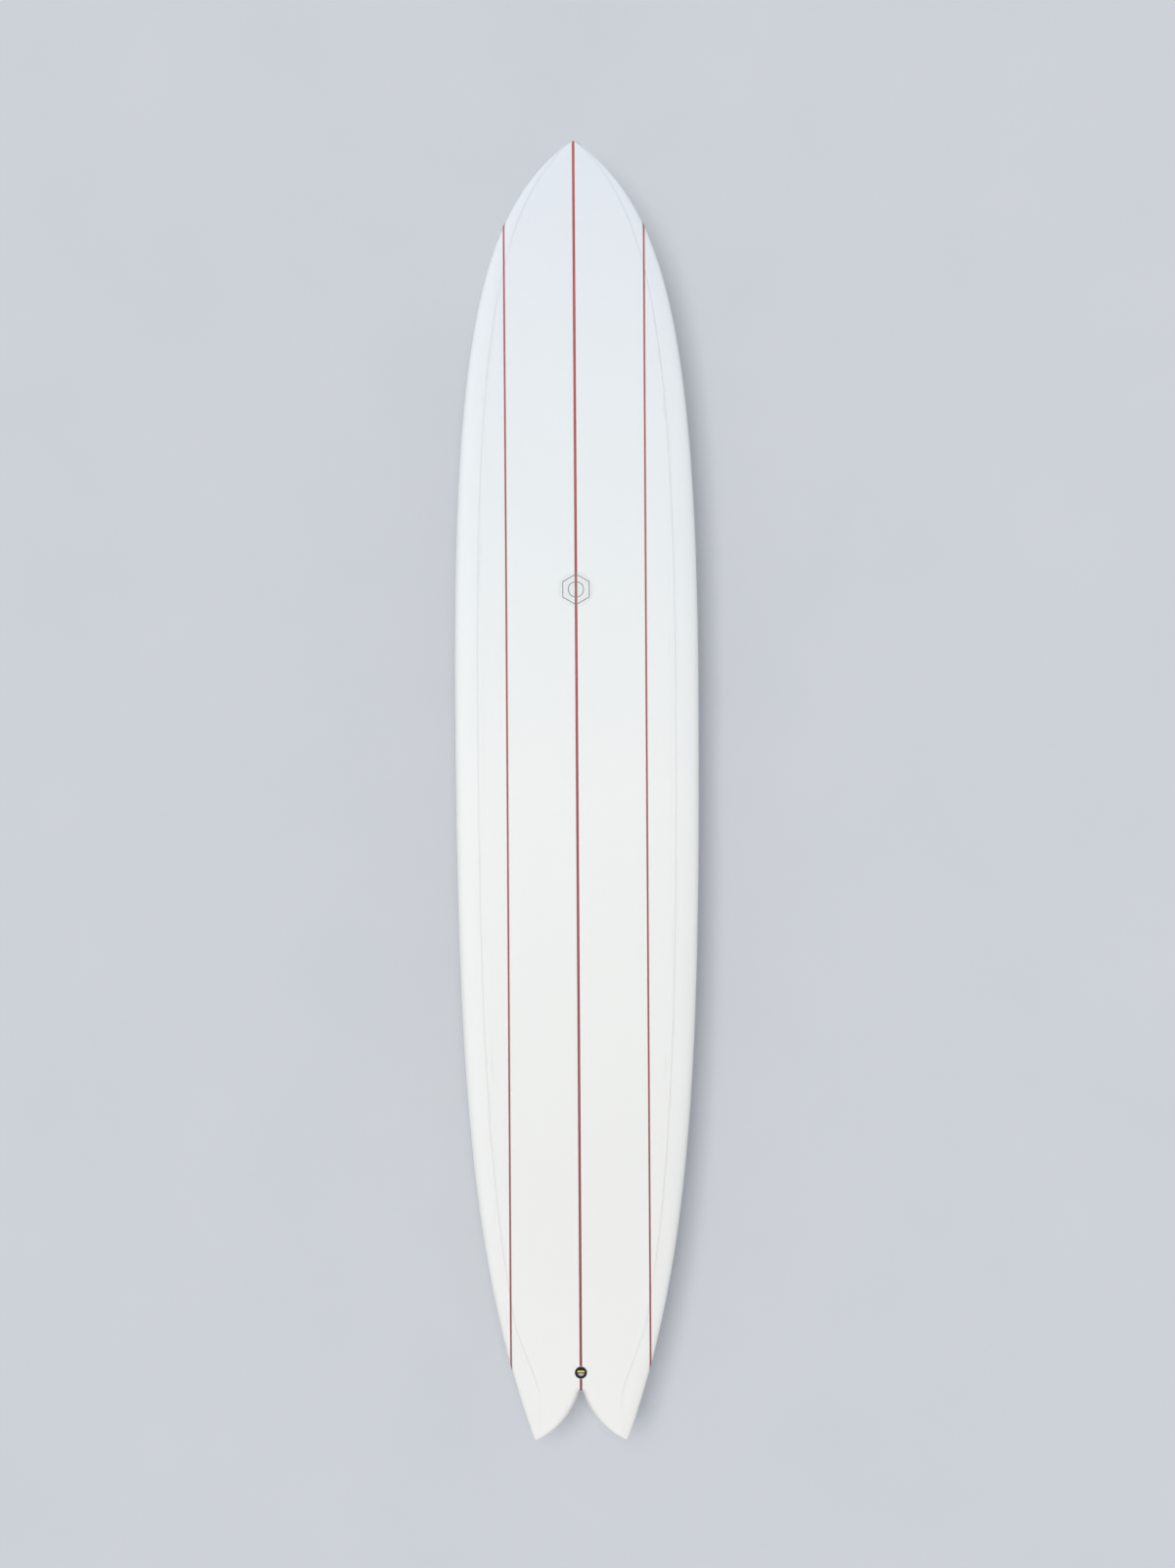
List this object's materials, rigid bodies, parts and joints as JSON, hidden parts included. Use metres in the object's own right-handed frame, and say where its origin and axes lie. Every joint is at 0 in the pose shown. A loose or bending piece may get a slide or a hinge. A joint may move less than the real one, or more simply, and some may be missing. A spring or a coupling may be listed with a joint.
{
  "type": "long surfboard with swallow tail",
  "caption": "Long glider surfboard with pointed nose, swallow tail, wooden stringers in a white foam blank, clear glassed skin, leash plug and a centre fin in a long box.",
  "frame": {"origin": "on the bottom surface, on the centreline, half-way between the nose and the tail tips", "axes": "+Z out of the deck, +Y towards the nose, +X towards the right rail when looking from tail to nose"},
  "size_m": [0.578, 3.048, 0.3238],
  "materials": {
    "foam": "fine closed-cell foam, matt",
    "cedar": "planed red cedar",
    "clear_skin": "clear resin over glass cloth, polished gloss",
    "tissue": "printed tissue soaked in clear resin",
    "black_plastic": "moulded black plastic",
    "bar_brass": "drawn brass bar",
    "bedding_resin": "milky casting resin",
    "fin_fibreglass": "solid fibreglass panel, polished",
    "stainless": "stainless steel"
  },
  "bodies": {
    "board": {"foam_left_rail": "foam", "foam_left_centre": "foam", "foam_right_centre": "foam", "foam_right_rail": "foam", "stringer_left": "cedar", "stringer_centre": "cedar", "stringer_right": "cedar", "bottom_laminate": "clear_skin", "deck_laminate": "clear_skin", "deck_patch": "clear_skin", "deck_decal": "tissue", "leash_plug_cup": "black_plastic", "leash_plug_bar": "bar_brass", "leash_plug_resin": "bedding_resin", "fin_box": "black_plastic", "fin_box_resin": "bedding_resin"},
    "fin": {"fin": "fin_fibreglass", "fin_pin": "stainless", "fin_nut_plate": "stainless"},
    "fin_screw": {"fin_screw": "stainless"}
  },
  "joints": [
    {"name": "fin_position", "type": "slide", "parent": "board", "child": "fin", "axis": [0, 0.9981, -0.061], "range_m": [-0.03, 0.03]},
    {"name": "fin_screw_turn", "type": "hinge", "parent": "fin", "child": "fin_screw", "pos_m": [0, -1.08927, 0.03842], "axis": [0, 0.061, 0.9981], "continuous": true}
  ]
}
